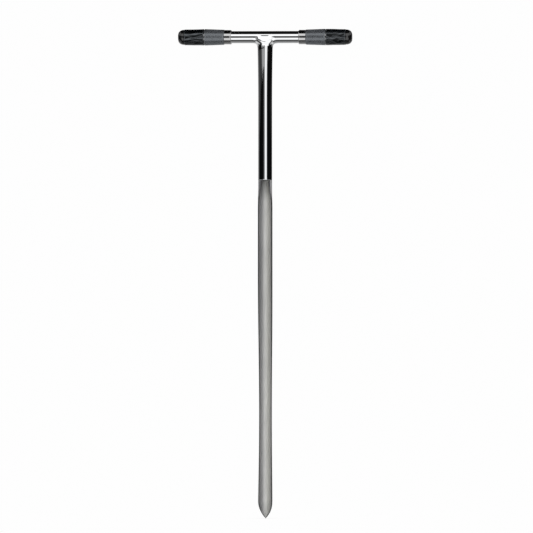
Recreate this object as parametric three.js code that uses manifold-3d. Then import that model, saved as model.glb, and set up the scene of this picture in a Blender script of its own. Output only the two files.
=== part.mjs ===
// A T-handled soil probe, the gouge kind of garden dibber: a steel cross bar with two hand grips, welded across the
// flared top of a chromed stem tube, whose lower end carries a long open gouge with a pointed tip.
//
// Units are millimetres. +Z is up, the cross bar runs along X and the gouge opens towards -Y.
// The origin is on the stem's axis, level with the lowest point of the tip.

import * as THREE from 'three';
import { mergeVertices } from 'three/addons/utils/BufferGeometryUtils.js';
import Module from 'manifold-3d';

const wasm = await Module();
wasm.setup();

// ---- driving dimensions ----

const OVERALL_LENGTH = 890;         // tip of the gouge to the top of the cross bar
const HANDLE_WIDTH = 319;           // over the two end caps
const BAR_RADIUS = 11.1;            // 7/8 inch tube
const BAR_WALL = 1.5;
const STEM_RADIUS = 12.7;           // 1 inch tube
const STEM_WALL = 2;
const GOUGE_LENGTH = 618;

const FLARE_LENGTH = 129;           // the stem's top opens out to straddle the bar
const FLARE_RISE = 1.5;
const STEM_TOP_DROP = 7;            // the stem's top edge below the bar's axis

const GRIP_GAP = 61.8;              // stem axis to the inner face of a grip
const COLLAR_LENGTH = 13;
const COLLAR_RADIUS = 13.1;
const SLEEVE_LENGTH = 36.1;
const SLEEVE_GAP = 0.8;             // the groove between the two sleeves of one grip
const SLEEVE_RADII = { collarEnd: 13.8, middle: 14.95, capEnd: 14.35 };
const CORE_RADIUS = 12.1;
const CAP_RADIUS = 13.7;
const CAP_LENGTH = 11.5;
const CAP_FACE_RADIUS = 5;          // the flat in the middle of the rounded end
const CAP_DOME_LENGTH = 10;
const PLUG_LENGTH = 15;
const PLUG_CHAMFER = 1;

const TIP_LENGTH = 30;
const TIP_HALF_WIDTH = 13;
const TIP_BLUNT = 0.8;              // half width left at the very tip
const TIP_CURL = 3;                 // how far the tip leans forward
const CURL_LENGTH = 45;
const GOUGE_RADIUS = 13.35;         // a cut tube springs open a little
const GOUGE_WALL = 2;
const WAIST_HEIGHT = 185;           // the edges are ground back furthest here
const WAIST_DEPTH = 1.65;
const WAIST_ABOVE = 245;            // how far the waist fades out upwards
const WAIST_BELOW = 205;            // and downwards
const SHOULDER_LENGTH = 36;         // rounded walls at the top of the opening
const SHOULDER_DEPTH = 8.3;         // how far forward of half round the walls reach there
const OPENING_RUN = 18;             // height over which the cut tube springs open
const RIM_BEVEL = 1.4;              // the long edges are ground back this far from inner to outer corner
const WIDEST_RIM = 2.6;

const SLIP = 0.1;                   // clearance drawn between pieces pushed on to one another
const WELD_GAP = 0.3;               // clearance drawn between the weld and what it joins

const SEGMENTS = 36;                // facets round each turned piece
const FLARE_STEPS = 8;
const WELD_STEPS = 6;
const ROUNDING_STEPS = 2;
const DOME_STEPS = 6;
const WALL_STEPS = 20;
const TIP_STEPS = 10;
const BODY_STEPS = 16;
const SHOULDER_STEPS = 8;

const BAR_HEIGHT = OVERALL_LENGTH - BAR_RADIUS;
const STEM_TOP = BAR_HEIGHT - STEM_TOP_DROP;
const CORE_END = HANDLE_WIDTH / 2 - CAP_LENGTH;

// ---- materials ----

const chrome = new THREE.MeshStandardMaterial({ color: 0xd8dadb, metalness: 1, roughness: 0.07 });
const satinSteel = new THREE.MeshStandardMaterial({ color: 0xa9a8a3, metalness: 1, roughness: 0.42 });
const glossBlack = new THREE.MeshStandardMaterial({ color: 0x070707, metalness: 0, roughness: 0.12 });
const greyRubber = new THREE.MeshStandardMaterial({ color: 0x4a4d50, metalness: 0, roughness: 0.75 });
const blackRubber = new THREE.MeshStandardMaterial({ color: 0x1c1e20, metalness: 0, roughness: 0.55 });

// ---- helpers ----

const radians = THREE.MathUtils.degToRad;
const { clamp, lerp, smoothstep } = THREE.MathUtils;

function solid(geometry) {
  const plain = geometry.clone();
  plain.deleteAttribute('normal');
  plain.deleteAttribute('uv');
  const merged = mergeVertices(plain, 1e-4);
  return new wasm.Manifold(new wasm.Mesh({
    numProp: 3,
    vertProperties: new Float32Array(merged.attributes.position.array),
    triVerts: new Uint32Array(merged.index.array),
  }));
}

function geometryOf(body) {
  const mesh = body.getMesh();
  const geometry = new THREE.BufferGeometry();
  geometry.setAttribute('position', new THREE.BufferAttribute(mesh.vertProperties, 3));
  geometry.setIndex(new THREE.BufferAttribute(mesh.triVerts, 1));
  geometry.computeVertexNormals();
  return geometry;
}

// Turns a closed outline of [radius, distance along the axis] about the Z axis.
function turned(outline) {
  const points = [...outline, outline[0]].map(([radius, along]) => new THREE.Vector2(radius, along));
  return new THREE.LatheGeometry(points, SEGMENTS).rotateX(Math.PI / 2);
}

// A quarter of an ellipse from the end of one side to the start of the next, corner points included.
function rounding(centreRadius, centreAlong, radial, along, startDegrees, steps) {
  return Array.from({ length: steps + 1 }, (_, i) => {
    const angle = radians(startDegrees + 90 * i / steps);
    return [centreRadius + radial * Math.cos(angle), centreAlong + along * Math.sin(angle)];
  });
}

// Joins equally long rings of points into one closed body. Each ring is a closed outline. The last ring joins the
// first when loop is true; otherwise both ends are capped, each ring's first half lying opposite its second.
function skinned(rings, loop) {
  const count = rings[0].length;
  const positions = rings.flat(2);
  const index = [];
  const bands = loop ? rings.length : rings.length - 1;
  for (let r = 0; r < bands; r += 1) {
    const here = r * count;
    const next = ((r + 1) % rings.length) * count;
    for (let k = 0; k < count; k += 1) {
      const after = (k + 1) % count;
      index.push(here + k, here + after, next + after, here + k, next + after, next + k);
    }
  }
  if (!loop) {
    const top = (rings.length - 1) * count;
    for (let k = 0; k < count / 2 - 1; k += 1) {
      const [a, b, c, d] = [k, k + 1, count - 2 - k, count - 1 - k];
      index.push(a, c, b, a, d, c);
      index.push(top + a, top + b, top + c, top + a, top + c, top + d);
    }
  }
  const geometry = new THREE.BufferGeometry();
  geometry.setAttribute('position', new THREE.Float32BufferAttribute(positions, 3));
  geometry.setIndex(index);
  geometry.computeVertexNormals();
  return geometry;
}

function node(name, geometry, material) {
  const mesh = new THREE.Mesh(geometry, material);
  mesh.name = name;
  return mesh;
}

// ---- stem and cross bar ----

function stemRadius(height) {
  const rise = clamp((height - (BAR_HEIGHT - FLARE_LENGTH)) / FLARE_LENGTH, 0, 1);
  return STEM_RADIUS + FLARE_RISE * rise ** 2;
}

// Outline of a body that follows the stem's flare, grown by extra and hollow from the wall thickness inwards.
function stemOutline(bottom, top, extra, innerOf) {
  const flareStart = BAR_HEIGHT - FLARE_LENGTH;
  const heights = [bottom];
  for (let i = 0; i <= FLARE_STEPS; i += 1) {
    heights.push(lerp(flareStart, top, i / FLARE_STEPS));
  }
  const outer = heights.map((height) => [stemRadius(height) + extra, height]);
  const inner = heights.map((height) => [innerOf(height), height]).reverse();
  return [...outer, ...inner];
}

function crossBarTube(outerRadius, innerRadius, halfLength) {
  const ring = [
    [outerRadius, -halfLength],
    [outerRadius, halfLength],
    [innerRadius, halfLength],
    [innerRadius, -halfLength],
  ];
  return turned(ring).rotateY(Math.PI / 2).translate(0, 0, BAR_HEIGHT);
}

// A solid rod where the bar lies, a little bigger, for cutting the pieces that fit round it.
function barCutter(gap) {
  const radius = BAR_RADIUS + gap;
  const length = 4 * STEM_RADIUS;
  const rod = new THREE.CylinderGeometry(radius, radius, length, 2 * SEGMENTS);
  return solid(rod.rotateZ(Math.PI / 2).translate(0, 0, BAR_HEIGHT));
}

// The stem's top is coped to sit astride the bar.
function stemTube() {
  const outline = stemOutline(GOUGE_LENGTH, STEM_TOP, 0, (height) => stemRadius(height) - STEM_WALL);
  return geometryOf(solid(turned(outline)).subtract(barCutter(SLIP)));
}

// ---- weld round the joint of stem and bar ----

const WELD_SIDE_DROP = 18;          // toe on the stem below the bar's axis, at the sides
const WELD_FRONT_DROP = 13;         // and at the front and back
const WELD_REACH = 19.5;            // toe on the bar, from the stem's axis
const WELD_WRAP = 104;              // degrees round the bar, from its underside to the toe at the front
const WELD_PROUD = 0.8;             // toe thickness
const WELD_DEPTH = 3;               // how deep the raw bead runs into both tubes before they are cut away

// One section of the bead: a curve that leaves the stem upwards and meets the bar along its surface.
function weldSection(theta) {
  const [side, front] = [Math.cos(theta), Math.sin(theta)];
  const low = BAR_HEIGHT - lerp(WELD_FRONT_DROP, WELD_SIDE_DROP, side ** 2);
  const wrap = radians(WELD_WRAP) * front;
  const onStem = stemRadius(low);
  const toeLow = new THREE.Vector3(side, front, 0).multiplyScalar(onStem + WELD_PROUD).setZ(low);
  const outwards = new THREE.Vector3(0, Math.sin(wrap), -Math.cos(wrap));
  const toeHigh = outwards.clone().multiplyScalar(BAR_RADIUS + WELD_PROUD);
  toeHigh.x = WELD_REACH * side;
  toeHigh.z += BAR_HEIGHT;
  const away = new THREE.Vector3(side / WELD_REACH, 0, 0);
  const round = new THREE.Vector3(0, Math.cos(wrap), Math.sin(wrap));
  away.addScaledVector(round, front / (BAR_RADIUS * radians(WELD_WRAP))).normalize();
  const pull = toeLow.distanceTo(toeHigh) / 2;
  const curve = new THREE.CubicBezierCurve3(
    toeLow,
    toeLow.clone().add(new THREE.Vector3(0, 0, pull)),
    toeHigh.clone().addScaledVector(away, -pull),
    toeHigh,
  );
  const inBar = toeHigh.clone().addScaledVector(outwards, -WELD_DEPTH);
  const inStem = new THREE.Vector3(side, front, 0).multiplyScalar(onStem - WELD_DEPTH).setZ(low);
  return [...curve.getPoints(WELD_STEPS), inBar, inStem].map((point) => point.toArray());
}

function weldBead() {
  const rings = Array.from({ length: SEGMENTS }, (_, i) => weldSection(-2 * Math.PI * i / SEGMENTS));
  const envelope = turned(stemOutline(GOUGE_LENGTH, STEM_TOP + WELD_GAP, WELD_GAP, () => 1));
  return geometryOf(solid(skinned(rings, true)).subtract(barCutter(WELD_GAP)).subtract(solid(envelope)));
}

// ---- gouge ----

// Half the width that the gouge shows from the front, below its shoulders.
function halfWidth(height) {
  const reach = height > WAIST_HEIGHT ? WAIST_ABOVE : WAIST_BELOW;
  const away = clamp(Math.abs(height - WAIST_HEIGHT) / reach, 0, 1);
  const body = GOUGE_RADIUS - WAIST_DEPTH * (1 + Math.cos(Math.PI * away)) / 2;
  if (height >= TIP_LENGTH) {
    return body;
  }
  const arcRadius = (TIP_HALF_WIDTH ** 2 + TIP_LENGTH ** 2) / (2 * TIP_HALF_WIDTH);
  const arch = Math.sqrt(arcRadius ** 2 - (TIP_LENGTH - height) ** 2);
  return Math.max(TIP_BLUNT, Math.min(body, TIP_HALF_WIDTH - arcRadius + arch));
}

// How far down the shoulder a height lies: 0 at the top of the opening, 1 below the shoulder.
function belowTop(height) {
  return Math.min(1, (GOUGE_LENGTH - height) / SHOULDER_LENGTH);
}

// How far the outer corner of the gouge's edge lies behind the stem's axis. In front of it counts as negative.
function edgeSetBack(height, outer) {
  const groundBack = Math.sqrt(outer ** 2 - Math.min(outer, halfWidth(height)) ** 2);
  return groundBack - SHOULDER_DEPTH * Math.sqrt(1 - belowTop(height) ** 2);
}

// Angles from the back of the gouge to the outer and inner corners of its edge, with the wall's radii.
function gougeWall(height) {
  const sprung = 1 - smoothstep(height, GOUGE_LENGTH - SHOULDER_LENGTH - OPENING_RUN, GOUGE_LENGTH - OPENING_RUN);
  const outer = lerp(STEM_RADIUS, GOUGE_RADIUS, sprung);
  const inner = outer - GOUGE_WALL;
  const setBack = edgeSetBack(height, outer);
  const wide = Math.sqrt(outer ** 2 - setBack ** 2);
  const innerSetBack = Math.min(inner, setBack - RIM_BEVEL * belowTop(height));
  const open = Math.sqrt(inner ** 2 - innerSetBack ** 2);
  const fromMiddle = Math.asin(Math.max(open, wide - WIDEST_RIM, wide / 2) / inner);
  const innerAngle = innerSetBack < 0 ? Math.PI - fromMiddle : fromMiddle;
  return { outer, inner, outerAngle: Math.acos(setBack / outer), innerAngle };
}

function gougeRing(height) {
  const { outer, inner, outerAngle, innerAngle } = gougeWall(height);
  const lean = TIP_CURL * clamp(1 - height / CURL_LENGTH, 0, 1) ** 2;
  const arc = (radius, from, to) => Array.from({ length: WALL_STEPS + 1 }, (_, i) => {
    const angle = lerp(from, to, i / WALL_STEPS);
    return [radius * Math.sin(angle), radius * Math.cos(angle) - lean, height];
  });
  return [...arc(outer, outerAngle, -outerAngle), ...arc(inner, -innerAngle, innerAngle)];
}

// The rings lie closer together towards the tip and where the shoulders start.
function gouge() {
  const heights = [];
  for (let i = 0; i < TIP_STEPS; i += 1) {
    const share = i / TIP_STEPS;
    heights.push(TIP_LENGTH * share * Math.sqrt(share));
  }
  const shoulderStart = GOUGE_LENGTH - SHOULDER_LENGTH;
  for (let i = 0; i < BODY_STEPS; i += 1) {
    heights.push(lerp(TIP_LENGTH, shoulderStart, i / BODY_STEPS));
  }
  const top = GOUGE_LENGTH - WELD_GAP;
  for (let i = 0; i <= SHOULDER_STEPS; i += 1) {
    heights.push(lerp(top, shoulderStart, Math.cos(Math.PI / 2 * i / SHOULDER_STEPS)));
  }
  return skinned(heights.map(gougeRing), false);
}

// ---- grips ----

// The hard core tube is pushed on to the bar. Its collar is the smooth band at the grip's inner end.
function gripCore() {
  const bore = BAR_RADIUS + SLIP;
  const edge = 1;
  const collarEnd = GRIP_GAP + COLLAR_LENGTH;
  return turned([
    [bore, GRIP_GAP],
    ...rounding(COLLAR_RADIUS - edge, GRIP_GAP + edge, edge, edge, -90, ROUNDING_STEPS),
    [COLLAR_RADIUS, collarEnd],
    [CORE_RADIUS, collarEnd],
    [CORE_RADIUS, CORE_END],
    [bore, CORE_END],
  ]);
}

// A rubber sleeve on the core, tapering from one radius to another with rounded edges.
function gripSleeve(start, startRadius, endRadius) {
  const bore = CORE_RADIUS + SLIP;
  const edge = 0.9;
  const end = start + SLEEVE_LENGTH;
  return turned([
    [bore, start],
    ...rounding(startRadius - edge, start + edge, edge, edge, -90, ROUNDING_STEPS),
    ...rounding(endRadius - edge, end - edge, edge, edge, 0, ROUNDING_STEPS),
    [bore, end],
  ]);
}

// The cap closes the tube's end: a domed head outside and a plug inside the bar.
function endCap() {
  const plugRadius = BAR_RADIUS - BAR_WALL - SLIP;
  const start = CORE_END + SLIP;
  const plugEnd = start - PLUG_LENGTH;
  const end = HANDLE_WIDTH / 2;
  const domeRise = CAP_RADIUS - CAP_FACE_RADIUS;
  return turned([
    [0, plugEnd],
    [plugRadius - PLUG_CHAMFER, plugEnd],
    [plugRadius, plugEnd + PLUG_CHAMFER],
    [plugRadius, start],
    [CAP_RADIUS, start],
    ...rounding(CAP_FACE_RADIUS, end - CAP_DOME_LENGTH, domeRise, CAP_DOME_LENGTH, 0, DOME_STEPS),
    [0, end],
  ]);
}

function grip(side, turn) {
  const innerStart = GRIP_GAP + COLLAR_LENGTH + SLIP;
  const outerStart = innerStart + SLEEVE_LENGTH + SLEEVE_GAP;
  const { collarEnd, middle, capEnd } = SLEEVE_RADII;
  const group = new THREE.Group();
  group.add(node(`grip_core_${side}`, gripCore(), glossBlack));
  group.add(node(`ribbed_sleeve_${side}`, gripSleeve(innerStart, collarEnd, middle), greyRubber));
  group.add(node(`grained_sleeve_${side}`, gripSleeve(outerStart, middle, capEnd), blackRubber));
  group.add(node(`end_cap_${side}`, endCap(), glossBlack));
  group.rotation.y = turn;
  group.position.z = BAR_HEIGHT;
  return group;
}

// ---- assembly ----

const probe = new THREE.Group();
probe.add(node('cross_bar', crossBarTube(BAR_RADIUS, BAR_RADIUS - BAR_WALL, CORE_END), chrome));
probe.add(node('stem_tube', stemTube(), chrome));
probe.add(node('handle_weld', weldBead(), chrome));
probe.add(node('gouge', gouge(), satinSteel));
probe.add(grip('left', -Math.PI / 2));
probe.add(grip('right', Math.PI / 2));

export default probe;
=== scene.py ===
"""Looks of the soil probe: chromed handle and stem, satin pointed gouge, rubber grips with end caps.

The shapes are worked out in millimetres and turned into metres when a mesh is made. +Z runs up the stem,
the cross bar lies along X and the gouge opens towards -Y.
"""

import math

import bpy
import numpy as np
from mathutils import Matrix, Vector


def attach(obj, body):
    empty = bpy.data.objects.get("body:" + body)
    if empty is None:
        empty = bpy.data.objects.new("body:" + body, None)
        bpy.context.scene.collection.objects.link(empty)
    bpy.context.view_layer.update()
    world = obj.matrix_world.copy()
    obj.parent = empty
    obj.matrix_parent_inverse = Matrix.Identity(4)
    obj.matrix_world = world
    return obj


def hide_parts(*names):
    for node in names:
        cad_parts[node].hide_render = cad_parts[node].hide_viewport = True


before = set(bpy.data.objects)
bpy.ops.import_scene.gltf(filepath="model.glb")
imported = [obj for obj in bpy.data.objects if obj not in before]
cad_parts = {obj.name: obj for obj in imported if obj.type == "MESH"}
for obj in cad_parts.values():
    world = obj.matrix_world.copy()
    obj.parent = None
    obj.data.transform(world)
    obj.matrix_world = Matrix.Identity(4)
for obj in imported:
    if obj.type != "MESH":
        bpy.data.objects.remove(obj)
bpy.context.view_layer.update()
scene = bpy.context.scene

MM = 0.001

# ---- dimensions, millimetres ----

OVERALL_LENGTH = 890.0   # from the tip to the top of the bar
HANDLE_WIDTH = 319.0     # over the end caps
BAR_RADIUS = 11.1
BAR_WALL = 1.5
BAR_EDGE = 0.3
STEM_RADIUS = 12.7
STEM_WALL = 2.0
GOUGE_LENGTH = 618.0
OVAL_LENGTH = 129.0      # the stem's top is squeezed to the bar's depth and spreads sideways
OVAL_SPREAD = 1.5
OVAL_SQUEEZE = 0.7
STEM_TOP_DROP = 8.0      # the stem ends at least this far below the bar's axis

GRIP_GAP = 61.8          # from the stem's axis to a grip
COLLAR_LENGTH = 13.0
COLLAR_RADIUS = 13.1
COLLAR_EDGE = 1.1
SLEEVE_LENGTH = 36.1
SLEEVE_GAP = 0.8
SLEEVE_EDGE = 0.9
SLEEVE_BAND = 1.5        # the relief comes in over this length beyond a sleeve's rounded ends
CORE_RADIUS = 12.1
CORE_EDGE = 0.3
CAP_RADIUS = 13.7
CAP_LENGTH = 11.5
CAP_FACE_RADIUS = 5.0
CAP_DOME_LENGTH = 10.0
CAP_EDGE = 0.4
PLUG_LENGTH = 15.0
PLUG_EDGE = 1.0
SLEEVE_COLLAR_END = 13.8     # the sleeves' radii at the collar, where the two meet, and at the cap
SLEEVE_MIDDLE = 14.95
SLEEVE_CAP_END = 14.35

TIP_LENGTH = 30.0
TIP_HALF_WIDTH = 13.0
TIP_BLUNT = 0.8
TIP_CURL = 3.0           # how far the tip leans forwards, over the curl's length
CURL_LENGTH = 45.0
GOUGE_RADIUS = 13.35
GOUGE_WALL = 2.0
WAIST_HEIGHT = 185.0
WAIST_DEPTH = 1.65
WAIST_ABOVE = 245.0
WAIST_BELOW = 205.0
SHOULDER_LENGTH = 36.0   # the edges run up to the closed tube over this length
SHOULDER_DEPTH = 8.3
OPENING_RUN = 18.0       # the wall keeps the stem's radius this far down and then springs out to the gouge's
RIM_BEVEL = 1.4
WIDEST_RIM = 2.6

SLIP = 0.1               # clearance between pieces that are pushed together
BAR_HEIGHT = OVERALL_LENGTH - BAR_RADIUS
CORE_END = HANDLE_WIDTH / 2 - CAP_LENGTH

ROUND = 160              # facets round the turned pieces
SHARP_ANGLE = math.radians(38)


# ---- numbers ----

def clamp(value, low=0.0, high=1.0):
    return max(low, min(high, value))


def mix(a, b, share):
    return a + (b - a) * share


def smoothstep(value, low, high):
    t = np.clip((value - low) / (high - low), 0, 1)
    return t * t * (3 - 2 * t)


# ---- meshes ----

def rounding(centre_radius, centre_along, radial, along, start, steps):
    """A quarter of an ellipse, in degrees from start to start + 90."""
    points = []
    for i in range(steps + 1):
        angle = math.radians(start + 90 * i / steps)
        points.append((centre_radius + radial * math.cos(angle), centre_along + along * math.sin(angle)))
    return points


def signed_volume(vertices, faces):
    total = 0.0
    for face in faces:
        first = vertices[face[0]]
        for a, b in zip(face[1:], face[2:]):
            total += np.dot(first, np.cross(vertices[a], vertices[b]))
    return total


def piece(name, vertices, faces, materials, node, zones=None, relief=None):
    """Makes a smooth-shaded mesh from millimetres, facing out, that stands for a node of the frame.

    zones gives each face the number of its material. relief gives each vertex its height above the grooves,
    0 to 1.
    """
    vertices = np.asarray(vertices, dtype=float)
    if signed_volume(vertices, faces) < 0:
        faces = [list(reversed(face)) for face in faces]
    mesh = bpy.data.meshes.new(name)
    mesh.from_pydata((vertices * MM).tolist(), [], faces)
    for material in materials:
        mesh.materials.append(material)
    if zones is not None:
        mesh.polygons.foreach_set("material_index", zones)
    mesh.polygons.foreach_set("use_smooth", [True] * len(faces))
    mesh.set_sharp_from_angle(angle=SHARP_ANGLE)
    if relief is not None:
        layer = mesh.attributes.new("relief", "FLOAT", "POINT")
        layer.data.foreach_set("value", relief)
    mesh.update()
    made = bpy.data.objects.new(name, mesh)
    scene.collection.objects.link(made)
    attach(made, "root")
    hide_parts(node)


def ring_numbers(count, size):
    """Vertex numbers of count rings that follow each other, each of the given size."""
    return [list(range(r * size, (r + 1) * size)) for r in range(count)]


def row_faces(rows, loop):
    """Joins rows of vertex numbers, each a closed ring, into faces. Repeated numbers in a face fall away."""
    faces = []
    following = rows[1:] + rows[:1] if loop else rows[1:]
    for low, high in zip(rows, following):
        count = len(low)
        for k in range(count):
            after = (k + 1) % count
            face = list(dict.fromkeys([low[k], low[after], high[after], high[k]]))
            if len(face) > 2:
                faces.append(face)
    return faces


def turned(outline, loop=True):
    """Turns an outline of (radius, along) about Z. A radius of 0 is one shared point."""
    vertices = []
    rows = []
    for radius, along in outline:
        start = len(vertices)
        if radius == 0:
            vertices.append((0, 0, along))
            rows.append([start] * ROUND)
            continue
        for k in range(ROUND):
            angle = 2 * math.pi * k / ROUND
            vertices.append((radius * math.cos(angle), radius * math.sin(angle), along))
        rows.append(list(range(start, start + ROUND)))
    return np.array(vertices), row_faces(rows, loop)


def onto_bar(vertices, side):
    """Lays a body turned about Z along the cross bar, with its far end on the given side, +1 or -1."""
    x, y, z = vertices.T
    return np.stack([side * z, y, BAR_HEIGHT - side * x], axis=1)


# ---- shader helpers ----

NOISE_ROUGHNESS = 0.6


def set_inputs(tree, node, inputs):
    """Sets a shader node's inputs, or links those that are given as sockets."""
    for key, value in inputs.items():
        if isinstance(value, bpy.types.NodeSocket):
            tree.links.new(value, node.inputs[key])
        else:
            node.inputs[key].default_value = value


def shader(tree, kind, inputs, **settings):
    made = tree.nodes.new(kind)
    for key, value in settings.items():
        setattr(made, key, value)
    set_inputs(tree, made, inputs)
    return made


def calc(tree, operation, *values):
    return shader(tree, "ShaderNodeMath", dict(enumerate(values)), operation=operation).outputs[0]


def product(tree, first, *others):
    for other in others:
        first = calc(tree, "MULTIPLY", first, other)
    return first


def vector_calc(tree, operation, output, inputs):
    return shader(tree, "ShaderNodeVectorMath", inputs, operation=operation).outputs[output]


def step(tree, value, low, high):
    """0 at low and beyond it, 1 at high and beyond it, smooth between. high may be the smaller."""
    made = shader(tree, "ShaderNodeMapRange", {"Value": value, "From Min": low, "From Max": high},
                  interpolation_type="SMOOTHSTEP")
    return made.outputs["Result"]


def rest_of(tree, share):
    return calc(tree, "SUBTRACT", 1.0, share)


def window(tree, value, low, high, soft):
    """1 between low and high, falling to 0 over a soft edge at both."""
    rise = step(tree, value, low - soft, low + soft)
    fall = rest_of(tree, step(tree, value, high - soft, high + soft))
    return product(tree, rise, fall)


def remap(tree, value, low, high, to_low, to_high):
    made = shader(tree, "ShaderNodeMapRange", {
        "Value": value, "From Min": low, "From Max": high, "To Min": to_low, "To Max": to_high,
    })
    return made.outputs["Result"]


def spread(tree, noise, low, high):
    """Stretches noise, which mostly stays between 0.3 and 0.7, over the range from low to high."""
    return remap(tree, noise, 0.3, 0.7, low, high)


def peaks(tree, noise, height):
    """0 but at the noise's peaks, where it rises to height."""
    return remap(tree, noise, 0.6, 0.8, 0.0, height)


def stretched_noise(tree, coordinate, scale, detail):
    """Noise whose features are 1/scale long along each axis, in metres."""
    stretched = vector_calc(tree, "MULTIPLY", 0, {0: coordinate, 1: scale})
    made = shader(tree, "ShaderNodeTexNoise", {
        "Vector": stretched, "Scale": 1.0, "Detail": detail, "Roughness": NOISE_ROUGHNESS,
    })
    return made.outputs["Fac"]


def colour_mix(tree, share, first, second):
    """Mixes two (r, g, b) colours by a share from 0 to 1."""
    made = shader(tree, "ShaderNodeMix", {"Factor": share}, data_type="RGBA")
    for socket in made.inputs:
        if socket.type == "RGBA":
            socket.default_value = (*(first if socket.name == "A" else second), 1)
    return [out for out in made.outputs if out.type == "RGBA"][0]


def value_mix(tree, share, first, second):
    made = shader(tree, "ShaderNodeMix", {"Factor": share, "A": first, "B": second}, data_type="FLOAT")
    return made.outputs["Result"]


def bump(tree, height, strength, distance, normal=None):
    inputs = {"Height": height, "Strength": strength, "Distance": distance}
    if normal is not None:
        inputs["Normal"] = normal
    return shader(tree, "ShaderNodeBump", inputs).outputs["Normal"]


def empty_material(name):
    made = bpy.data.materials.new(name)
    made.use_nodes = True
    made.node_tree.nodes.clear()
    return made, made.node_tree


def surface_material(name):
    made, tree = empty_material(name)
    surface = shader(tree, "ShaderNodeBsdfPrincipled", {})
    shader(tree, "ShaderNodeOutputMaterial", {"Surface": surface.outputs[0]})
    place = shader(tree, "ShaderNodeTexCoord", {}).outputs["Object"]
    return made, tree, surface, place


# ---- materials ----

RIPPLE_DISTANCE = 0.0004     # metres, as all bump distances are
WELD_RIPPLE_DISTANCE = 0.0016    # the weld is ground and polished by hand
SCRATCH_DISTANCE = 0.0002
STREAK_DISTANCE = 0.00025
STEEL_GRAIN_DISTANCE = 0.00008
HAZE_DISTANCE = 0.0002
RUBBER_GRAIN_DISTANCE = 0.0002

# Shade painted on the gouge's inside to match the photo: where it is darkest, where the painted shade ends,
# and the brightness left where it is darkest. Places are X for the sides and Z for tip and top, in
# millimetres.
SHADE_LEFT = (-11, 4, 0.58)
SHADE_RIGHT = (12, 7.5, 0.62)
SHADE_TIP = (4, 34, 0.74)
SHADE_TOP = (GOUGE_LENGTH - 6, GOUGE_LENGTH - 38, 0.76)
# Tints of the painted shade: bluish where it is darkest, warm in the lit middle.
SHADE_CAST = (0.985, 0.985, 1.03)
LIT_CAST = (1.01, 1.01, 0.97)

CHROME_ROUGHNESS = (0.003, 0.012)
SCRATCH_ROUGHNESS = 0.04
DUST_ROUGHNESS = 0.05
RUBBER_ROUGHNESS = (0.18, 0.30)
GROOVE_GLOSS = 0.25          # shares of a rubber's gloss in its grooves and on its ridges
RIDGE_GLOSS = 1.75
RUBBER_SHINE = (0.88, 0.94, 1.0, 1)      # tints the rubber's highlights


def chrome_material(name, ripple_distance):
    """Mirror plating with a faint haze, hairline scratches and a slow ripple."""
    made, tree, surface, place = surface_material(name)
    haze = stretched_noise(tree, place, (90, 90, 40), 5)
    scratch = stretched_noise(tree, place, (2600, 2600, 160), 2)
    ripple = stretched_noise(tree, place, (55, 55, 18), 1)
    polish = spread(tree, haze, *CHROME_ROUGHNESS)
    scuffs = peaks(tree, scratch, SCRATCH_ROUGHNESS)
    normal = bump(tree, ripple, 0.08, ripple_distance)
    normal = bump(tree, scratch, 0.02, SCRATCH_DISTANCE, normal)
    set_inputs(tree, surface, {
        "Base Color": colour_mix(tree, haze, (0.70, 0.71, 0.72), (0.76, 0.77, 0.775)),
        "Metallic": 1.0,
        "Roughness": calc(tree, "ADD", polish, scuffs),
        "Normal": normal,
    })
    return made


def painted_shade(tree, place, tone):
    """Paints shade into a colour towards the gouge's sides, tip and top. The shaded sides turn bluish and the
    lit middle warm.
    """
    at = shader(tree, "ShaderNodeSeparateXYZ", {0: place}).outputs

    def darkening(axis, shade_span):
        start, end, left = shade_span
        return remap(tree, at[axis], start * MM, end * MM, left, 1.0)

    sideways = product(tree, darkening("X", SHADE_LEFT), darkening("X", SHADE_RIGHT))
    cast = colour_mix(tree, remap(tree, sideways, 0.6, 1, 0, 1), SHADE_CAST, LIT_CAST)
    lengthwise = product(tree, darkening("Z", SHADE_TIP), darkening("Z", SHADE_TOP))
    shaded = vector_calc(tree, "SCALE", "Vector", {0: tone, "Scale": product(tree, sideways, lengthwise)})
    return vector_calc(tree, "MULTIPLY", "Vector", {0: shaded, 1: cast})


def steel_material(name, dark, light, rough_low, rough_high, streak, metal=1.0, has_painted_shade=False):
    """Satin steel with lengthwise streaks, which can also carry the painted shade of the gouge's inside."""
    made, tree, surface, place = surface_material(name)
    lengthwise = stretched_noise(tree, place, (1400, 1400, 14), 3)
    cloud = stretched_noise(tree, place, (120, 120, 22), 5)
    grain = stretched_noise(tree, place, (3500, 3500, 900), 2)
    shade = calc(tree, "ADD", product(tree, lengthwise, 0.45), product(tree, cloud, 0.55))
    normal = bump(tree, lengthwise, streak, STREAK_DISTANCE)
    normal = bump(tree, grain, streak / 2, STEEL_GRAIN_DISTANCE, normal)
    tone = colour_mix(tree, remap(tree, shade, 0.35, 0.65, 0, 1), dark, light)
    set_inputs(tree, surface, {
        "Base Color": painted_shade(tree, place, tone) if has_painted_shade else tone,
        "Metallic": metal,
        "Roughness": spread(tree, shade, rough_high, rough_low),
        "Normal": normal,
    })
    return made


def gloss_black_material(name, rough, ior, coat):
    made, tree, surface, place = surface_material(name)
    haze = stretched_noise(tree, place, (140, 140, 140), 5)
    fleck = stretched_noise(tree, place, (1500, 1500, 1500), 2)
    clean = spread(tree, haze, rough, rough * 1.5)
    dusty = peaks(tree, fleck, DUST_ROUGHNESS)
    set_inputs(tree, surface, {
        "Base Color": colour_mix(tree, haze, (0.0025, 0.0025, 0.003), (0.006, 0.006, 0.0065)),
        "Roughness": calc(tree, "ADD", clean, dusty),
        "IOR": ior,
        "Coat Weight": coat,
        "Coat Roughness": rough,
        "Coat IOR": 2.0,
        "Normal": bump(tree, haze, 0.1, HAZE_DISTANCE),
    })
    return made


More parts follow.
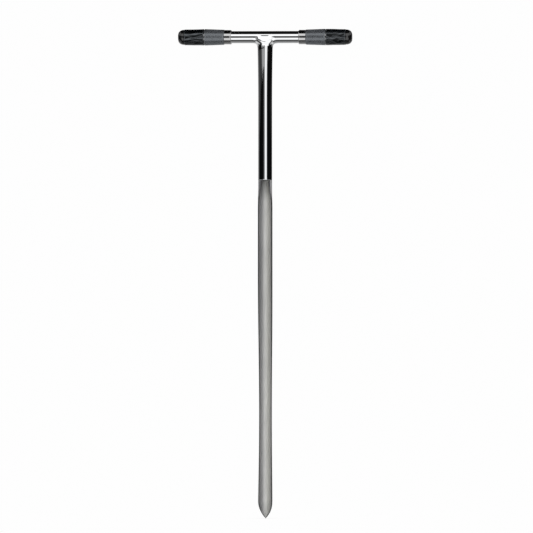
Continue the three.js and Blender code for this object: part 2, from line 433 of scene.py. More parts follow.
def rubber_material(name, dark, light, gloss):
    """Rubber that is lighter and glossier on its ridges than in its grooves: the grooves carry painted shade.
    """
    made, tree, surface, place = surface_material(name)
    relief = shader(tree, "ShaderNodeAttribute", {}, attribute_name="relief").outputs["Fac"]
    cloud = stretched_noise(tree, place, (160, 160, 160), 5)
    grain = stretched_noise(tree, place, (2200, 2200, 2200), 3)
    # Painted shade: low relief, in the grooves, gives a darker colour; the cloud adds tone at random.
    shade = calc(tree, "ADD", product(tree, relief, 0.7), product(tree, cloud, 0.35))
    set_inputs(tree, surface, {
        "Base Color": colour_mix(tree, remap(tree, shade, 0.15, 0.9, 0, 1), dark, light),
        "Roughness": spread(tree, cloud, *RUBBER_ROUGHNESS),
        "IOR": 1.5,
        "Specular IOR Level": remap(tree, relief, 0, 1, gloss * GROOVE_GLOSS, gloss * RIDGE_GLOSS),
        "Specular Tint": RUBBER_SHINE,
        "Normal": bump(tree, grain, 0.15, RUBBER_GRAIN_DISTANCE),
    })
    return made


chrome = chrome_material("chrome", RIPPLE_DISTANCE)
weld_chrome = chrome_material("weld_chrome", WELD_RIPPLE_DISTANCE)
outer_steel = steel_material("gouge_outside", (0.60, 0.60, 0.60), (0.74, 0.74, 0.74), 0.34, 0.46, 0.15, 0.55)
# The rims are the same steel as the walls; their dark colour is painted shade.
rim_steel = steel_material("gouge_rim", (0.08, 0.08, 0.085), (0.13, 0.13, 0.135), 0.30, 0.40, 0.15)
# The gouge's inside carries painted shade towards its sides, tip and top.
inner_steel = steel_material("gouge_inside", (0.66, 0.66, 0.65), (0.80, 0.80, 0.785), 0.56, 0.70, 0.25,
                             has_painted_shade=True)
# An index of refraction above any plastic's gives the collars the strong highlights that the photo shows.
collar_black = gloss_black_material("collar_gloss_black", 0.015, 4.2, 1.0)
cap_black = gloss_black_material("cap_black", 0.09, 1.6, 0.0)
grey_rubber = rubber_material("ribbed_rubber", (0.022, 0.023, 0.026), (0.046, 0.049, 0.054), 1.08)
black_rubber = rubber_material("grained_rubber", (0.0004, 0.0005, 0.0007), (0.004, 0.005, 0.006), 0.6)


# ---- cross bar ----

BAR_STEPS = 24


def build_bar():
    inner = BAR_RADIUS - BAR_WALL
    end = CORE_END
    outline = [(BAR_RADIUS - BAR_EDGE, -end)]
    for i in range(BAR_STEPS):
        outline.append((BAR_RADIUS, mix(BAR_EDGE - end, end - BAR_EDGE, i / BAR_STEPS)))
    outline += [(BAR_RADIUS, end - BAR_EDGE), (BAR_RADIUS - BAR_EDGE, end), (inner, end), (inner, -end)]
    vertices, faces = turned(outline)
    piece("bar_tube", onto_bar(vertices, 1), faces, [chrome], "cross_bar")


# ---- stem ----

STEM_SEGMENTS = 192
STEM_EASE = 0.35             # rounding of the stem's lower edge
STEM_EASE_OPENING = 0.85     # and how much more it is rounded over the gouge's opening
STEM_EASE_STEPS = 6
STEM_CLOSE_RINGS = (0.05, 0.25, 1.0)     # rings close above the rounding keep the wall's shading straight
STEM_LOWEST_RING = 1.5
STEM_BORE_EDGE = 0.3
COPE_BEND = 26.0             # the rings bend towards the cope over this length below the bar's axis
PLAIN_STEPS = 8
OVAL_STEPS = 28


def oval(height):
    """Half width and half depth of the stem, which is round below and squeezed towards its top."""
    rise = np.clip((height - (BAR_HEIGHT - OVAL_LENGTH)) / OVAL_LENGTH, 0, 1)
    return STEM_RADIUS + OVAL_SPREAD * rise ** 2, STEM_RADIUS - OVAL_SQUEEZE * rise ** 2


def build_stem():
    """The stem's top edge is coped to the bar. Its lower edge is rounded, most of all over the opening."""
    theta = 2 * np.pi * np.arange(STEM_SEGMENTS) / STEM_SEGMENTS
    across, depth = np.cos(theta), np.sin(theta)
    ease = STEM_EASE + STEM_EASE_OPENING * smoothstep(-depth, 0.55, 0.8)
    rings = []

    def ring(inset, height):
        height = np.broadcast_to(height, theta.shape)
        half_width_here, half_depth = oval(height)
        x = (half_width_here - inset) * across
        y = (half_depth - inset) * depth
        rings.append(np.stack([x, y, height], axis=1))

    def coped(inset):
        y = (oval(BAR_HEIGHT)[1] - inset) * depth
        reach = np.clip((BAR_RADIUS + SLIP) ** 2 - y ** 2, 0, None)
        return BAR_HEIGHT - np.maximum(np.sqrt(reach), STEM_TOP_DROP)

    for i in range(STEM_EASE_STEPS + 1):
        angle = math.pi / 2 * i / STEM_EASE_STEPS
        ring(ease * (1 - math.sin(angle)), GOUGE_LENGTH + ease * (1 - math.cos(angle)))
    for close in STEM_CLOSE_RINGS:
        ring(0, GOUGE_LENGTH + ease + close)
    oval_start = BAR_HEIGHT - OVAL_LENGTH
    bend_from = BAR_HEIGHT - COPE_BEND
    for i in range(1, PLAIN_STEPS + 1):
        ring(0, mix(GOUGE_LENGTH + STEM_LOWEST_RING, oval_start, i / PLAIN_STEPS))
    for i in range(1, OVAL_STEPS + 1):
        ring(0, mix(oval_start, bend_from, i / OVAL_STEPS))
    for i in range(1, PLAIN_STEPS + 1):
        ring(0, mix(bend_from, coped(0), i / PLAIN_STEPS))
    ring(STEM_WALL, coped(STEM_WALL))
    bore_steps = PLAIN_STEPS - 1
    for i in range(bore_steps, -1, -1):
        ring(STEM_WALL, mix(GOUGE_LENGTH + STEM_BORE_EDGE, bend_from, i / bore_steps))
    ring(STEM_WALL - STEM_BORE_EDGE, GOUGE_LENGTH)
    faces = row_faces(ring_numbers(len(rings), STEM_SEGMENTS), True)
    piece("stem_body", np.concatenate(rings), faces, [chrome], "stem_tube")


# ---- weld ----

WELD_BLEND_SIDE = 12.3       # how widely bar and stem melt into each other at the sides
WELD_BLEND_FRONT = 20.0      # and in front, below the bar
WELD_BLEND_TOP = 2.5         # and in front, on the bar's upper half
WELD_BLEND_TOE = 14.0        # and in front, where the joint has run out on the stem
WELD_TOP_RUN = (-4, 8)       # from the top's blend to the front's, between these depths below the bar's axis
WELD_TOE_RUN = (9, 17)       # and on to the toe's
WELD_SIDE_FROM = 0.45        # the sides' blend comes in where x * x is this share of x * x + y * y
WELD_CAP_RISE = 2.0          # the stem's blended top above the bar's axis
WELD_CAP_BLEND = 1.5
GRIND_TOP = 3.2              # the ground face starts this far above the bar's axis
GRIND_DEPTH = 10.65          # and in front of it
CREASE_LENGTH = 1.6          # a short steep crease comes first
CREASE_SLOPE = 0.75
GRIND_SLOPE = 0.2            # and from there the face leans out, more and more
GRIND_HOLLOW = 0.002
GRIND_HALF_WIDTH = 10.0      # further out than this, less and less is ground off
GRIND_RUN_OUT = 0.02
GRIND_CLEAR = 0.02           # the face stays this far in front of the bar
GRIND_EASE = 0.3
WELD_LOW_SIDE = 27.0         # the toe on the stem below the bar's axis, at the sides
WELD_LOW_FRONT = 31.0        # and at the front and back
WELD_REACH = 27.5            # the toe on the bar, from the stem's axis
WELD_WRAP = math.radians(134)    # round the bar, from its underside to the toe at the front
WELD_LIFT = 0.015            # the skin stands this far off the joint's own surface
WELD_THICKNESS = 1.2
WELD_SINK = 0.08             # depth of the rim that joins skin and underside
WELD_AROUND = 288
WELD_ALONG = 56
WELD_UNDER_STRIDE = 3        # the hidden side has one ring for so many of the skin's
RELAX_ROUNDS = 60
RELAX_ALONG = 0.45           # how much a point moves to the middle of its neighbours along a line
RELAX_AROUND = 0.15          # and of its neighbours round the joint
LEAST_STEEPNESS = 0.05       # keeps a point from being thrown far where the distance hardly changes


def smooth_min(a, b, blend):
    near = np.clip(blend - np.abs(a - b), 0, None) / blend
    return np.minimum(a, b) - near ** 3 * blend / 6


def stem_distance(x, y, z):
    """Signed distance, near enough, to the oval stem, cut off a little above the bar's axis."""
    half_width_here, half_depth = oval(z + BAR_HEIGHT)
    out = np.hypot(x / half_width_here, y / half_depth)
    slope = np.hypot(x / half_width_here ** 2, y / half_depth ** 2) / np.maximum(out, 1e-6)
    wall = (out - 1) / np.maximum(slope, 1e-3)
    return -smooth_min(-wall, WELD_CAP_RISE - z, WELD_CAP_BLEND)


def weld_blend(x, y, z):
    """How widely bar and stem melt into each other at a point."""
    side = x ** 2 / np.maximum(x ** 2 + y ** 2, 1e-6)
    front = mix(WELD_BLEND_TOP, WELD_BLEND_FRONT, smoothstep(-z, *WELD_TOP_RUN))
    front = mix(front, WELD_BLEND_TOE, smoothstep(-z, *WELD_TOE_RUN))
    return mix(front, WELD_BLEND_SIDE, smoothstep(side, WELD_SIDE_FROM, 1))


def ground_face(x, z):
    """How far in front of the axis, or behind it, the weld is ground down to."""
    down = GRIND_TOP - z
    below = np.clip(down - CREASE_LENGTH, 0, None)
    face = GRIND_DEPTH + CREASE_SLOPE * np.minimum(down, CREASE_LENGTH) + GRIND_SLOPE * below
    face += GRIND_HOLLOW * below ** 2
    bar_depth = np.sqrt(np.clip(BAR_RADIUS ** 2 - z ** 2, 0, None))
    beyond = np.clip(np.abs(x) - GRIND_HALF_WIDTH, 0, None)
    return np.maximum(face, bar_depth + GRIND_CLEAR) + GRIND_RUN_OUT * beyond ** 2


def joint_distance(p):
    """Signed distance, near enough, to bar and stem melted together and ground flat in front and behind.

    z is counted from the bar's axis.
    """
    x, y, z = p[..., 0], p[..., 1], p[..., 2]
    bar = np.hypot(y, z) - BAR_RADIUS
    melted = smooth_min(bar, stem_distance(x, y, z), weld_blend(x, y, z))
    ground = np.abs(y) - ground_face(x, z)
    return -smooth_min(-melted, -ground, GRIND_EASE)


def gradient(p, reach=1e-3):
    parts = []
    for axis in range(3):
        offset = np.zeros(3)
        offset[axis] = reach
        parts.append((joint_distance(p + offset) - joint_distance(p - offset)) / (2 * reach))
    return np.stack(parts, axis=-1)


def unit(vectors):
    return vectors / np.linalg.norm(vectors, axis=-1, keepdims=True)


def onto_joint(p, rounds):
    for _ in range(rounds):
        slope = gradient(p)
        squared = np.maximum((slope ** 2).sum(axis=-1, keepdims=True), LEAST_STEEPNESS)
        p = p - joint_distance(p)[..., None] * slope / squared
    return p


def relaxed(p):
    """Evens out the grid of points. Its first and last rings are only pulled on to the joint."""
    for _ in range(RELAX_ROUNDS):
        middle = (p[:, :-2] + p[:, 2:]) / 2
        beside = (np.roll(p, 1, axis=0) + np.roll(p, -1, axis=0))[:, 1:-1] / 2
        kept = 1 - RELAX_ALONG - RELAX_AROUND
        p[:, 1:-1] = kept * p[:, 1:-1] + RELAX_ALONG * middle + RELAX_AROUND * beside
        p = onto_joint(p, 2)
    return p


def build_weld():
    """A fillet round the joint, from a toe on the stem to a toe on the bar, closed on its hidden side."""
    theta = 2 * np.pi * np.arange(WELD_AROUND) / WELD_AROUND
    side, front = np.cos(theta), np.sin(theta)
    low = -mix(WELD_LOW_FRONT, WELD_LOW_SIDE, side ** 2)
    half_width_here, half_depth = oval(low + BAR_HEIGHT)
    toe_low = np.stack([half_width_here * side, half_depth * front, low], axis=1)
    wrap = WELD_WRAP * front
    toe_high = np.stack([WELD_REACH * side, BAR_RADIUS * np.sin(wrap), -BAR_RADIUS * np.cos(wrap)], axis=1)
    away = unit(np.stack([side, front * np.cos(wrap), front * np.sin(wrap)], axis=1))
    length = np.linalg.norm(toe_high - toe_low, axis=1, keepdims=True)
    pulled_low = toe_low + np.array([0, 0, 0.5]) * length
    pulled_high = toe_high - 0.5 * length * away
    t = np.linspace(0, 1, WELD_ALONG)[None, :, None]
    p = (1 - t) ** 3 * toe_low[:, None] + 3 * t * (1 - t) ** 2 * pulled_low[:, None]
    p = p + 3 * t ** 2 * (1 - t) * pulled_high[:, None] + t ** 3 * toe_high[:, None]
    p = onto_joint(relaxed(onto_joint(p, 8)), 6)
    normal = unit(gradient(p))
    skin = p + WELD_LIFT * normal
    under = p - WELD_THICKNESS * normal
    sunk = p - WELD_SINK * normal
    rings = [skin[:, j] for j in range(WELD_ALONG)]
    rings.append(sunk[:, -1])
    rings += [under[:, j] for j in range(WELD_ALONG - 2, 0, -WELD_UNDER_STRIDE)]
    rings.append(sunk[:, 0])
    vertices = np.concatenate(rings) + np.array([0, 0, BAR_HEIGHT])
    faces = row_faces(ring_numbers(len(rings), WELD_AROUND), True)
    piece("weld_fillet", vertices, faces, [weld_chrome], "handle_weld")


# ---- gouge ----

GOUGE_CLEAR = 0.02       # the gouge ends this far below the stem
WALL_STEPS = 64
CORNER_STEPS = 4
EDGE_POINTS = 2 * CORNER_STEPS + 1       # between the outer and the inner wall
EDGE_EASE = 0.35         # how far back from a corner its rounding starts
TIP_RINGS = 56
TIP_CROWDING = 1.6       # above 1 the rings crowd towards the point
BLADE_RINGS = 200
SHOULDER_RINGS = 48
OUTSIDE, RIM, INSIDE = range(3)


def half_width(height):
    """Half the gouge's width, with its waist and its pointed tip."""
    reach = WAIST_ABOVE if height > WAIST_HEIGHT else WAIST_BELOW
    away = clamp(abs(height - WAIST_HEIGHT) / reach)
    body = GOUGE_RADIUS - WAIST_DEPTH * (1 + math.cos(math.pi * away)) / 2
    if height >= TIP_LENGTH:
        return body
    arc_radius = (TIP_HALF_WIDTH ** 2 + TIP_LENGTH ** 2) / (2 * TIP_HALF_WIDTH)
    arch = math.sqrt(arc_radius ** 2 - (TIP_LENGTH - height) ** 2)
    return max(TIP_BLUNT, min(body, TIP_HALF_WIDTH - arc_radius + arch))


def gouge_section(height):
    """Radii of the wall and the angles, from the back, of the outer and inner corners of its edge."""
    opening_top = GOUGE_LENGTH - OPENING_RUN
    sprung = 1 - float(smoothstep(height, opening_top - SHOULDER_LENGTH, opening_top))
    outer = mix(STEM_RADIUS, GOUGE_RADIUS, sprung)
    inner = outer - GOUGE_WALL
    below = min(1, (GOUGE_LENGTH - height) / SHOULDER_LENGTH)
    ground_back = math.sqrt(outer ** 2 - min(outer, half_width(height)) ** 2)
    set_back = ground_back - SHOULDER_DEPTH * math.sqrt(1 - below ** 2)
    wide = math.sqrt(outer ** 2 - set_back ** 2)
    inner_set_back = min(inner, set_back - RIM_BEVEL * below)
    open_width = math.sqrt(inner ** 2 - inner_set_back ** 2)
    from_middle = math.asin(max(open_width, wide - WIDEST_RIM, wide / 2) / inner)
    inner_angle = math.pi - from_middle if inner_set_back < 0 else from_middle
    return outer, inner, math.acos(set_back / outer), inner_angle


def corner(before, point, after):
    """Points between before and after that round off the corner at point."""
    points = []
    for i in range(1, CORNER_STEPS):
        t = i / CORNER_STEPS
        points.append((1 - t) ** 2 * before + 2 * t * (1 - t) * point + t ** 2 * after)
    return points


def gouge_ring(height):
    """One closed section: the outer wall, the left edge, the inner wall and the right edge."""
    outer, inner, outer_angle, inner_angle = gouge_section(height)
    lean = TIP_CURL * clamp(1 - height / CURL_LENGTH) ** 2

    def place(radius, angle):
        return np.array([radius * math.sin(angle), radius * math.cos(angle) - lean, height])

    def arc(radius, start, end):
        return [place(radius, mix(start, end, i / WALL_STEPS)) for i in range(WALL_STEPS + 1)]

    outer_corner = place(outer, outer_angle)
    inner_corner = place(inner, inner_angle)
    rim = np.linalg.norm(outer_corner - inner_corner)
    ease = min(EDGE_EASE, rim / 4, outer * outer_angle / 4, inner * inner_angle / 4)
    outer_end = outer_angle - ease / outer
    inner_end = inner_angle - ease / inner
    outwards = (outer_corner - inner_corner) / rim
    rim_out = outer_corner - ease * outwards
    rim_in = inner_corner + ease * outwards
    outer_arc = arc(outer, outer_end, -outer_end)
    inner_arc = arc(inner, -inner_end, inner_end)
    right_edge = corner(outer_arc[0], outer_corner, rim_out)
    right_edge += [rim_out, (rim_out + rim_in) / 2, rim_in]
    right_edge += corner(rim_in, inner_corner, inner_arc[-1])
    left_edge = [point * np.array([-1, 1, 1]) for point in right_edge]
    return outer_arc + left_edge + inner_arc + right_edge[::-1]


def end_faces(ring):
    """Closes a section with strips between its two walls and one face at either edge."""
    outer = ring[:WALL_STEPS + 1]
    inner = ring[WALL_STEPS + 1 + EDGE_POINTS:2 * WALL_STEPS + 2 + EDGE_POINTS]
    faces = []
    for k in range(WALL_STEPS):
        faces.append([outer[k], inner[WALL_STEPS - k], inner[WALL_STEPS - k - 1], outer[k + 1]])
    faces.append([outer[-1], inner[0]] + ring[WALL_STEPS + EDGE_POINTS:WALL_STEPS:-1])
    faces.append([inner[-1], outer[0]] + ring[:2 * WALL_STEPS + 1 + EDGE_POINTS:-1])
    return faces


def build_gouge():
    shoulder_start = GOUGE_LENGTH - SHOULDER_LENGTH
    top = GOUGE_LENGTH - GOUGE_CLEAR
    heights = [TIP_LENGTH * (i / TIP_RINGS) ** TIP_CROWDING for i in range(TIP_RINGS)]
    heights += [mix(TIP_LENGTH, shoulder_start, i / BLADE_RINGS) for i in range(BLADE_RINGS)]
    for i in range(SHOULDER_RINGS + 1):
        heights.append(mix(top, shoulder_start, math.cos(math.pi / 2 * i / SHOULDER_RINGS)))
    rings = [gouge_ring(height) for height in heights]
    numbers = ring_numbers(len(rings), len(rings[0]))
    faces = row_faces(numbers, False)
    edge = [RIM] * (EDGE_POINTS + 1)
    zones = ([OUTSIDE] * WALL_STEPS + edge + [INSIDE] * WALL_STEPS + edge) * (len(rings) - 1)
    lowest = end_faces(numbers[0])
    highest = [face[::-1] for face in end_faces(numbers[-1])]
    faces += lowest + highest
    zones += [RIM] * (len(lowest) + len(highest))
    vertices = np.concatenate([np.array(ring) for ring in rings])
    piece("gouge_body", vertices, faces, [outer_steel, rim_steel, inner_steel], "gouge",
          zones=zones)


# ---- grips ----

RIBS = 48
RIB_DEPTH = 0.25
RIB_FROM = 0.7               # the groove takes up the part of each wave above this
RIB_ROWS = 20
RIB_SEGMENTS = RIBS * 10
GRAIN_DEPTH = 0.22
GRAIN_ROWS = 110
GRAIN_SEGMENTS = 300
GRAIN_WAVES = 6              # for each of the two slants
GRAIN_TURNS = (8, 24)        # how often a wave repeats round the grip
GRAIN_SLANT = (0.03, 0.24)
GRAIN_SIZE = (0.6, 1.2)
GRAIN_EDGE = 2.2             # the sum of waves that makes a full ridge, and below 0 a full groove
GRAIN_BENDS = 4              # slower waves that bend the others
BEND_TURNS = (2, 6)
BEND_RATE = 0.35
BEND_SIZE = 0.05


def build_core(name, side):
    bore = BAR_RADIUS + SLIP / 2
    collar_start = GRIP_GAP + COLLAR_EDGE
    collar_end = GRIP_GAP + COLLAR_LENGTH
    outline = [(bore, GRIP_GAP)]
    outline += rounding(COLLAR_RADIUS - COLLAR_EDGE, collar_start, COLLAR_EDGE, COLLAR_EDGE, -90, 8)
    outline += [(COLLAR_RADIUS, mix(collar_start, collar_end - CORE_EDGE, i / 4)) for i in range(1, 5)]
    outline += [(COLLAR_RADIUS - CORE_EDGE, collar_end), (CORE_RADIUS, collar_end), (CORE_RADIUS, CORE_END)]
    outline += [(bore, CORE_END)]
    vertices, faces = turned(outline)
    piece("core_" + name, onto_bar(vertices, side), faces, [collar_black], "grip_core_" + name)


def sleeve(start, start_radius, end_radius, relief_of, depth, rows, segments):
    """A sleeve with plain ends, whose outside is cut down by depth times relief_of(angle, along), 0 to 1."""
    bore = CORE_RADIUS + SLIP
    end = start + SLEEVE_LENGTH
    first = start + SLEEVE_EDGE
    last = end - SLEEVE_EDGE
    outline = rounding(start_radius - SLEEVE_EDGE, first, SLEEVE_EDGE, SLEEVE_EDGE, -90, 5)
    outline += [(mix(start_radius, end_radius, i / rows), mix(first, last, i / rows)) for i in range(1, rows)]
    outline += rounding(end_radius - SLEEVE_EDGE, last, SLEEVE_EDGE, SLEEVE_EDGE, 0, 5)
    angle = 2 * np.pi * np.arange(segments) / segments
    rings = []
    relief = []

    def ring(radius, along, height):
        x = radius * np.cos(angle)
        y = radius * np.sin(angle)
        rings.append(np.stack([x, y, np.full(segments, along)], axis=1))
        relief.append(height)

    ring(bore, start, np.zeros(segments))
    for radius, along in outline:
        fade = float(smoothstep(along, first, first + SLEEVE_BAND))
        fade *= 1 - float(smoothstep(along, last - SLEEVE_BAND, last))
        cut = relief_of(angle, along - start) * fade
        ring(radius - depth * cut, along, 1 - cut)
    ring(bore, end, np.zeros(segments))
    return np.concatenate(rings), row_faces(ring_numbers(len(rings), segments), True), np.concatenate(relief)


def ribs(angle, along):
    wave = 0.5 - 0.5 * np.cos(RIBS * angle)
    return smoothstep(wave, RIB_FROM, 1.0)


def grain_pattern(seed):
    """Irregular ridges along the grip that cross at a slant, as sums of waves that close round it."""
    random = np.random.default_rng(seed)
    waves = []
    for slant in (1, -1):
        for _ in range(GRAIN_WAVES):
            turns = int(random.integers(*GRAIN_TURNS))
            rate = slant * random.uniform(*GRAIN_SLANT) * turns / SLEEVE_MIDDLE
            waves.append((turns, rate, random.uniform(0, 2 * np.pi), random.uniform(*GRAIN_SIZE)))
    bends = []
    for _ in range(GRAIN_BENDS):
        turns = int(random.integers(*BEND_TURNS))
        bends.append((turns, random.uniform(-BEND_RATE, BEND_RATE), random.uniform(0, 2 * np.pi)))

    def pattern(angle, along):
        bend = sum(np.sin(turns * angle + rate * along + phase) for turns, rate, phase in bends) * BEND_SIZE
        total = sum(size * np.sin(turns * (angle + bend) + rate * along + phase)
                    for turns, rate, phase, size in waves)
        return smoothstep(-total, -GRAIN_EDGE, GRAIN_EDGE)

    return pattern


def build_cap(name, side):
    plug = BAR_RADIUS - BAR_WALL - SLIP
    start = CORE_END + SLIP / 2
    plug_end = start - PLUG_LENGTH
    end = HANDLE_WIDTH / 2
    outline = [(0, plug_end), (plug - PLUG_EDGE, plug_end), (plug, plug_end + PLUG_EDGE), (plug, start)]
    outline += [(CAP_RADIUS - CAP_EDGE, start), (CAP_RADIUS, start + CAP_EDGE)]
    outline += rounding(CAP_FACE_RADIUS, end - CAP_DOME_LENGTH, CAP_RADIUS - CAP_FACE_RADIUS, CAP_DOME_LENGTH,
                        0, 24)
    outline += [(CAP_FACE_RADIUS / 2, end), (0, end)]
    vertices, faces = turned(outline, loop=False)
    piece("cap_" + name, onto_bar(vertices, side), faces, [cap_black], "end_cap_" + name)


def build_grip(name, side, seed):
    build_core(name, side)
    inner_start = GRIP_GAP + COLLAR_LENGTH + SLIP
    outer_start = inner_start + SLEEVE_LENGTH + SLEEVE_GAP
    vertices, faces, relief = sleeve(inner_start, SLEEVE_COLLAR_END, SLEEVE_MIDDLE, ribs, RIB_DEPTH,
                                     RIB_ROWS, RIB_SEGMENTS)
    piece("ribbed_" + name, onto_bar(vertices, side), faces, [grey_rubber],
          "ribbed_sleeve_" + name, relief=relief)
    vertices, faces, relief = sleeve(outer_start, SLEEVE_MIDDLE, SLEEVE_CAP_END, grain_pattern(seed),
                                     GRAIN_DEPTH, GRAIN_ROWS, GRAIN_SEGMENTS)
    piece("grained_" + name, onto_bar(vertices, side), faces, [black_rubber],
          "grained_sleeve_" + name, relief=relief)
    build_cap(name, side)


build_bar()
build_stem()
build_weld()
build_gouge()
build_grip("left", -1, 11)
build_grip("right", 1, 29)


# ---- camera ----

CAMERA_AZIMUTH = math.radians(5.5)       # the camera stands this far to the right of the object's front
LENS = 600.0
SENSOR = 36.0
FRAME_WIDTH = 973.5                      # what the picture spans, in millimetres
FRAME_CENTRE_ACROSS = 2.5
FRAME_CENTRE_HEIGHT = 460.1
CAMERA_DISTANCE = FRAME_WIDTH * LENS / SENSOR
CLIP_START = 0.1
CLIP_END = 200


def build_camera():
    data = bpy.data.cameras.new("camera")
    data.lens = LENS
    data.sensor_width = SENSOR
    data.clip_start = CLIP_START
    data.clip_end = CLIP_END
    right = Vector((math.cos(CAMERA_AZIMUTH), math.sin(CAMERA_AZIMUTH), 0))
    back = Vector((math.sin(CAMERA_AZIMUTH), -math.cos(CAMERA_AZIMUTH), 0))
    aim = right * FRAME_CENTRE_ACROSS + Vector((0, 0, FRAME_CENTRE_HEIGHT))
    camera = bpy.data.objects.new("camera", data)
    camera.location = (aim + back * CAMERA_DISTANCE) * MM
    camera.rotation_mode = "QUATERNION"
    camera.rotation_quaternion = (-back).to_track_quat("-Z", "Y")
    scene.collection.objects.link(camera)
    scene.camera = camera


# ---- studio ----

ROOM_LEVEL = 0.99            # what the camera sees behind the object
DARKEST_LEVEL = 0.004        # what chrome reflects between the soft boxes
FILL_LEVEL = 0.12            # light on matt faces from all round
FILL_FRONT = 1.5             # and what the camera's side adds to it
FILL_BELOW = 0.5             # and the floor
GREY_END_RISE = 0.58         # a grey reflection ends on the stem at this share of the oval's length
GREY_HEIGHT = 9              # degrees
FLOOR_RADIUS = 12000.0
FLOOR_DROP = 0.05
FLOOR_CORNERS = 96
FLOOR_SHADE_REACH = 0.05     # metres
FLOOR_SHADE_LEVEL = 0.7
FLOOR_SHADE_SAMPLES = 16


def grey_edge(tree, azimuth):
    """Elevation, in degrees, that the stem reflects from each azimuth where its grey reflection ends.

    It is the slope of the line of sight there and twice the tilt of the oval top, times the cosine of the
    angle at which it is seen. The top leans up in front, where it is squeezed, and down at the sides, where
    it spreads.
    """
    height = BAR_HEIGHT - OVAL_LENGTH * (1 - GREY_END_RISE)
    sight = math.degrees(math.atan((height - FRAME_CENTRE_HEIGHT) / CAMERA_DISTANCE))
    turn_per_depth = math.degrees(2 * 2 * GREY_END_RISE / OVAL_LENGTH)
    facing = calc(tree, "COSINE", product(tree, azimuth, math.radians(0.5)))
    squared = product(tree, facing, facing)
    front_to_side = (OVAL_SPREAD + OVAL_SQUEEZE) * turn_per_depth
    tilt = calc(tree, "MULTIPLY_ADD", squared, front_to_side, -OVAL_SPREAD * turn_per_depth)
    return calc(tree, "ADD", product(tree, facing, tilt), sight)


def camera_angles(tree):
    """Azimuth and elevation of a ray in degrees. Azimuth is 0 towards the camera and grows to its right."""
    direction = shader(tree, "ShaderNodeTexCoord", {}).outputs["Generated"]
    right = shader(tree, "ShaderNodeVectorTransform", {"Vector": (1, 0, 0)},
                   vector_type="VECTOR", convert_from="CAMERA", convert_to="WORLD").outputs[0]
    right_parts = shader(tree, "ShaderNodeSeparateXYZ", {0: right}).outputs
    back = shader(tree, "ShaderNodeCombineXYZ", {
        "X": right_parts["Y"], "Y": product(tree, right_parts["X"], -1.0), "Z": 0.0,
    }).outputs[0]
    across = vector_calc(tree, "DOT_PRODUCT", "Value", {0: direction, 1: right})
    towards = vector_calc(tree, "DOT_PRODUCT", "Value", {0: direction, 1: back})
    height = shader(tree, "ShaderNodeSeparateXYZ", {0: direction}).outputs["Z"]
    azimuth = product(tree, calc(tree, "ARCTAN2", across, towards), math.degrees(1))
    elevation = product(tree, calc(tree, "ARCSINE", height), math.degrees(1))
    return azimuth, elevation, towards


def soft_boxes(tree, azimuth, elevation):
    """What chrome reflects, as a list of soft-edged boxes. Every box has its own level."""
    aside = calc(tree, "ABSOLUTE", azimuth)
    over = calc(tree, "SUBTRACT", elevation, grey_edge(tree, azimuth))
    grey = window(tree, over, 0, GREY_HEIGHT, 0.02)
    sides = window(tree, aside, 64, 126, 8)

    def turn(low, high, soft):
        return window(tree, azimuth, low, high, soft)

    def rise(low, high, soft):
        return window(tree, elevation, low, high, soft)

    return [
        # in front: low, main, dim beside the main one, and high
        product(tree, turn(-40, 40, 8), rise(-50, -13, 3), 1.3),
        product(tree, turn(-7, 27, 4), rise(-16, 20, 2), 1.2),
        product(tree, turn(-30, -6, 5), rise(-16, 12, 3), 0.07),
        product(tree, turn(-60, 60, 10), rise(20, 57, 2), 1.4),
        # greys: four that the stem reflects just below the weld, and one for the weld's left side
        product(tree, turn(-52, -13, 3), grey, 0.36),
        product(tree, turn(-125, -60, 8), grey, 0.05),
        product(tree, turn(30, 60, 5), grey, 0.06),
        product(tree, turn(60, 110, 8), grey, 0.015),
        product(tree, turn(-52, -15, 3), rise(-26, 0.3, 0.2), 0.34),
        # at both sides, above and below
        product(tree, sides, rise(20, 50, 3), 1.0),
        product(tree, sides, rise(-58, -34, 3), 0.6),
        # behind: left, right and low
        product(tree, step(tree, azimuth, -100, -172), rise(-40, 4, 3), 0.5),
        product(tree, step(tree, azimuth, 132, 178), rise(-40, 4, 3), 0.3),
        product(tree, step(tree, aside, 90, 130), rise(-70, -8, 6), 0.45),
        # straight above and straight below
        product(tree, step(tree, elevation, 78, 90), 0.02),
        product(tree, rest_of(tree, step(tree, elevation, -86, -58)), 0.26),
    ]


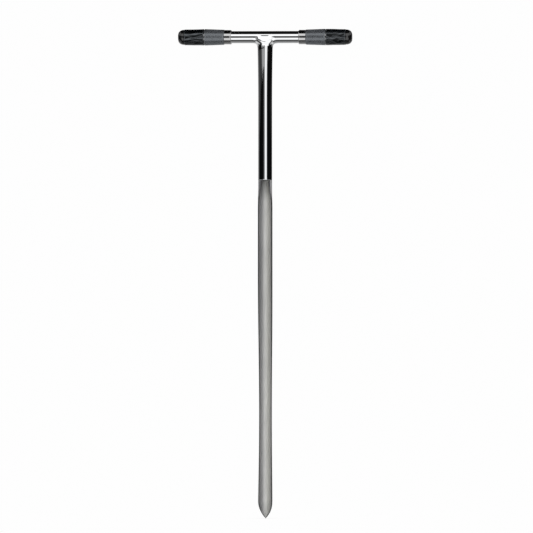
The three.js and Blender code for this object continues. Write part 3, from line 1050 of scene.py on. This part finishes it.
def build_world():
    """Soft boxes that stay with the camera, as a photographer's would, and a white room for it to see.

    Rays to the camera, matt faces and mirror-like ones each have their own light.
    """
    world = bpy.data.worlds.new("studio")
    scene.world = world
    world.use_nodes = True
    world.cycles.sampling_method = "NONE"
    tree = world.node_tree
    tree.nodes.clear()
    azimuth, elevation, towards = camera_angles(tree)
    shine = DARKEST_LEVEL
    for box in soft_boxes(tree, azimuth, elevation):
        shine = calc(tree, "ADD", shine, box)
    forward = remap(tree, towards, 0, 1, 0, FILL_FRONT)
    upward = product(tree, rest_of(tree, step(tree, elevation, -70, -10)), FILL_BELOW)
    fill = calc(tree, "ADD", calc(tree, "ADD", forward, upward), FILL_LEVEL)
    path = shader(tree, "ShaderNodeLightPath", {}).outputs
    level = value_mix(tree, path["Is Diffuse Ray"], shine, fill)
    level = value_mix(tree, path["Is Camera Ray"], level, ROOM_LEVEL)
    background = shader(tree, "ShaderNodeBackground", {"Color": (1, 1, 1, 1), "Strength": level})
    shader(tree, "ShaderNodeOutputWorld", {"Surface": background.outputs[0]})


def build_floor():
    """A white floor, seen by the camera alone, that darkens only close to what stands on it."""
    made, tree = empty_material("floor_white")
    near = shader(tree, "ShaderNodeAmbientOcclusion", {"Distance": FLOOR_SHADE_REACH},
                  samples=FLOOR_SHADE_SAMPLES)
    level = remap(tree, near.outputs["AO"], 0, 1, FLOOR_SHADE_LEVEL, ROOM_LEVEL)
    glow = shader(tree, "ShaderNodeEmission", {"Color": (1, 1, 1, 1), "Strength": level})
    shader(tree, "ShaderNodeOutputMaterial", {"Surface": glow.outputs[0]})
    corners = []
    for k in range(FLOOR_CORNERS):
        angle = 2 * math.pi * k / FLOOR_CORNERS
        corners.append((FLOOR_RADIUS * math.cos(angle), FLOOR_RADIUS * math.sin(angle), -FLOOR_DROP))
    mesh = bpy.data.meshes.new("floor")
    mesh.from_pydata([tuple(v * MM for v in p) for p in corners], [], [list(range(FLOOR_CORNERS))])
    mesh.materials.append(made)
    floor = bpy.data.objects.new("floor", mesh)
    scene.collection.objects.link(floor)
    floor.visible_glossy = False
    floor.visible_diffuse = False
    floor.visible_transmission = False
    floor.visible_shadow = False


build_world()
build_floor()
build_camera()
scene.view_settings.view_transform = "Standard"
scene.view_settings.look = "None"
